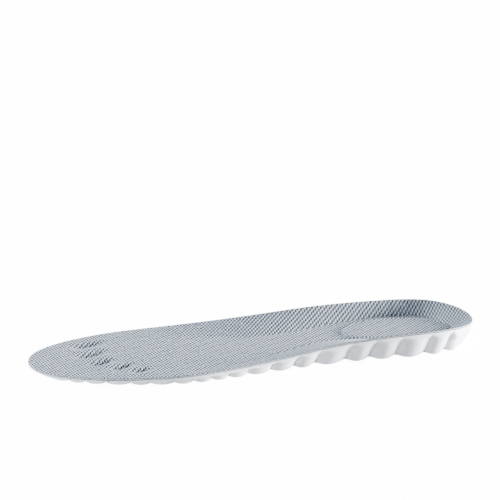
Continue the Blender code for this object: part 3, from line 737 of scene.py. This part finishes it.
knit = knit_material()
yarn_edge = plain_material("yarn_edge", (0.44, 0.47, 0.52), (0.56, 0.6, 0.66), 0.85, 1800, 0.0001)
# painted shade: the dark line along the top of the cover's cut edge
edge_painted_shade = plain_material("edge_painted_shade", (0.05, 0.056, 0.065), (0.07, 0.077, 0.088), 0.85, 1800, 0.0001)
charcoal = plain_material("charcoal_cloth", (0.02, 0.023, 0.027), (0.035, 0.038, 0.045), 0.9, 2500, 0.0001)
clear_film = plain_material("clear_film", (0.5, 0.52, 0.54), (0.55, 0.57, 0.6), 0.35, 400, 0.00002)
foam = plain_material("moulded_foam", (0.785, 0.785, 0.83), (0.84, 0.84, 0.88), 0.62, 1500, 0.00006,
                      Subsurface_Weight=0.25, Subsurface_Radius=(0.002, 0.002, 0.002), Subsurface_Scale=1.0)
vent_dark = plain_material("vent_shadow", (0.3, 0.305, 0.315), (0.36, 0.365, 0.375), 0.9, 800, 0.00005)
gel = plain_material("red_gel", (0.66, 0.003, 0.002), (0.56, 0.002, 0.001), 0.25, 300, 0.00002,
                     Subsurface_Weight=0.3, Subsurface_Radius=(0.004, 0.0005, 0.0005), Subsurface_Scale=1.0,
                     Coat_Weight=0.3, Coat_Roughness=0.1)
bond = plain_material("bond_film", (0.78, 0.76, 0.68), (0.82, 0.8, 0.72), 0.35, 400, 0.00002)

knit_cover = laminate("knit_cover", 0, COVER_EDGE, [knit, edge_painted_shade, yarn_edge], relief=KNIT_DEPTH)
backing_cloth = laminate("backing_cloth", COVER_EDGE + 0.1, EDGE_LINE, [charcoal], inset=0.15, sink=0.3)
film_sheet = laminate("film_sheet", COVER + BACKING + 2 * GAP, FILM, [clear_film], inset=1.5)
foam_body = foam_block(foam, vent_dark)
gel_pad = gel_cushion(gel)

for piece, node, slot in [
    (knit_cover, "top_cover", "knit"), (backing_cloth, "cover_backing", "backing"),
    (film_sheet, "barrier_film", "film"), (foam_body, "foam_body", "foam"), (gel_pad, "heel_gel_pad", "gel"),
]:
    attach(piece, "root")
    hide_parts(node)
bond_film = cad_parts["gel_bond_film"]
bond_film.data.materials.clear()
bond_film.data.materials.append(bond)


# ------------------------------------------------------------------------------------- the studio


def floor():
    mesh = bpy.data.meshes.new("studio_floor")
    mesh.from_pydata([(-3, -3, 0), (3, -3, 0), (3, 3, 0), (-3, 3, 0)], [], [(0, 1, 2, 3)])
    g = Graph("studio_floor", (0.38, 0.38, 0.38), 0.9)
    glow = g.math("MULTIPLY", g.node("ShaderNodeLightPath").outputs["Is Camera Ray"], FLOOR_GLOW)
    g.set("Emission Color", (1, 1, 1, 1))
    g.set("Emission Strength", glow)
    seen = g.node("ShaderNodeNewGeometry").outputs["Backfacing"]
    clear = g.node("ShaderNodeBsdfTransparent").outputs[0]
    mix = g.node("ShaderNodeMixShader", {0: seen, 1: g.shader.outputs[0], 2: clear})
    g.tree.links.new(mix.outputs[0], g.tree.nodes["Material Output"].inputs["Surface"])
    mesh.materials.append(g.material)
    made = bpy.data.objects.new("studio_floor", mesh)
    bpy.context.scene.collection.objects.link(made)
    made.location.z = -0.0003


def softbox(name, place, size, power, tint, aim=(0, 0, 0), spread=180):
    data = bpy.data.lights.new(name, "AREA")
    data.shape, data.size, data.energy, data.color = "SQUARE", size, power, tint
    data.spread = math.radians(spread)
    lamp = bpy.data.objects.new(name, data)
    bpy.context.scene.collection.objects.link(lamp)
    lamp.location = place
    lamp.rotation_euler = (Vector(aim) - Vector(place)).to_track_quat("-Z", "Y").to_euler()


def long_lens_camera():
    """A long lens 2.5 m away, a little above the insole, turned slightly to its toe and rolled a little."""
    turn, height, roll = math.radians(7.3), math.radians(19.25), math.radians(1.26)
    ahead = Vector((math.sin(turn) * math.cos(height), math.cos(turn) * math.cos(height), -math.sin(height)))
    right = Vector((math.cos(turn), -math.sin(turn), 0))
    up = right.cross(ahead)
    x_axis = right * math.cos(roll) - up * math.sin(roll)
    y_axis = right * math.sin(roll) + up * math.cos(roll)
    data = bpy.data.cameras.new("camera")
    data.lens = 298.7
    camera = bpy.data.objects.new("camera", data)
    bpy.context.scene.collection.objects.link(camera)
    aim = Matrix((x_axis, y_axis, -ahead)).transposed()
    aim = aim @ Matrix.Rotation(0.02534, 3, "X") @ Matrix.Rotation(0.00065, 3, "Y")
    camera.matrix_world = Matrix.Translation(-ahead * 2.5) @ aim.to_4x4()
    bpy.context.scene.camera = camera


FLOOR_GLOW = 14.0  # the floor looks paper white and throws only its own soft reflection on the foam
COOL = (0.86, 0.94, 1.0)
floor()
world = bpy.data.worlds.new("studio")
world.use_nodes = True
world.node_tree.nodes["Background"].inputs["Color"].default_value = (*COOL, 1)
world.node_tree.nodes["Background"].inputs["Strength"].default_value = 0.35
bpy.context.scene.world = world
softbox("back_left", (-1.4, 1.15, 1.3), 1.1, 90, COOL)
softbox("low_left", (-1.8, 0.85, 0.5), 0.4, 92, COOL)
softbox("heel_side", (1.5, -0.06, 0.13), 0.4, 310, (0.98, 0.98, 1))
softbox("front_fill", (-0.5, -2.0, 0.4), 0.8, 7, COOL)
softbox("toe_side", (-0.5, -0.42, 0.045), 0.08, 0.21, COOL, aim=(-0.13, -0.03, 0), spread=32)
long_lens_camera()
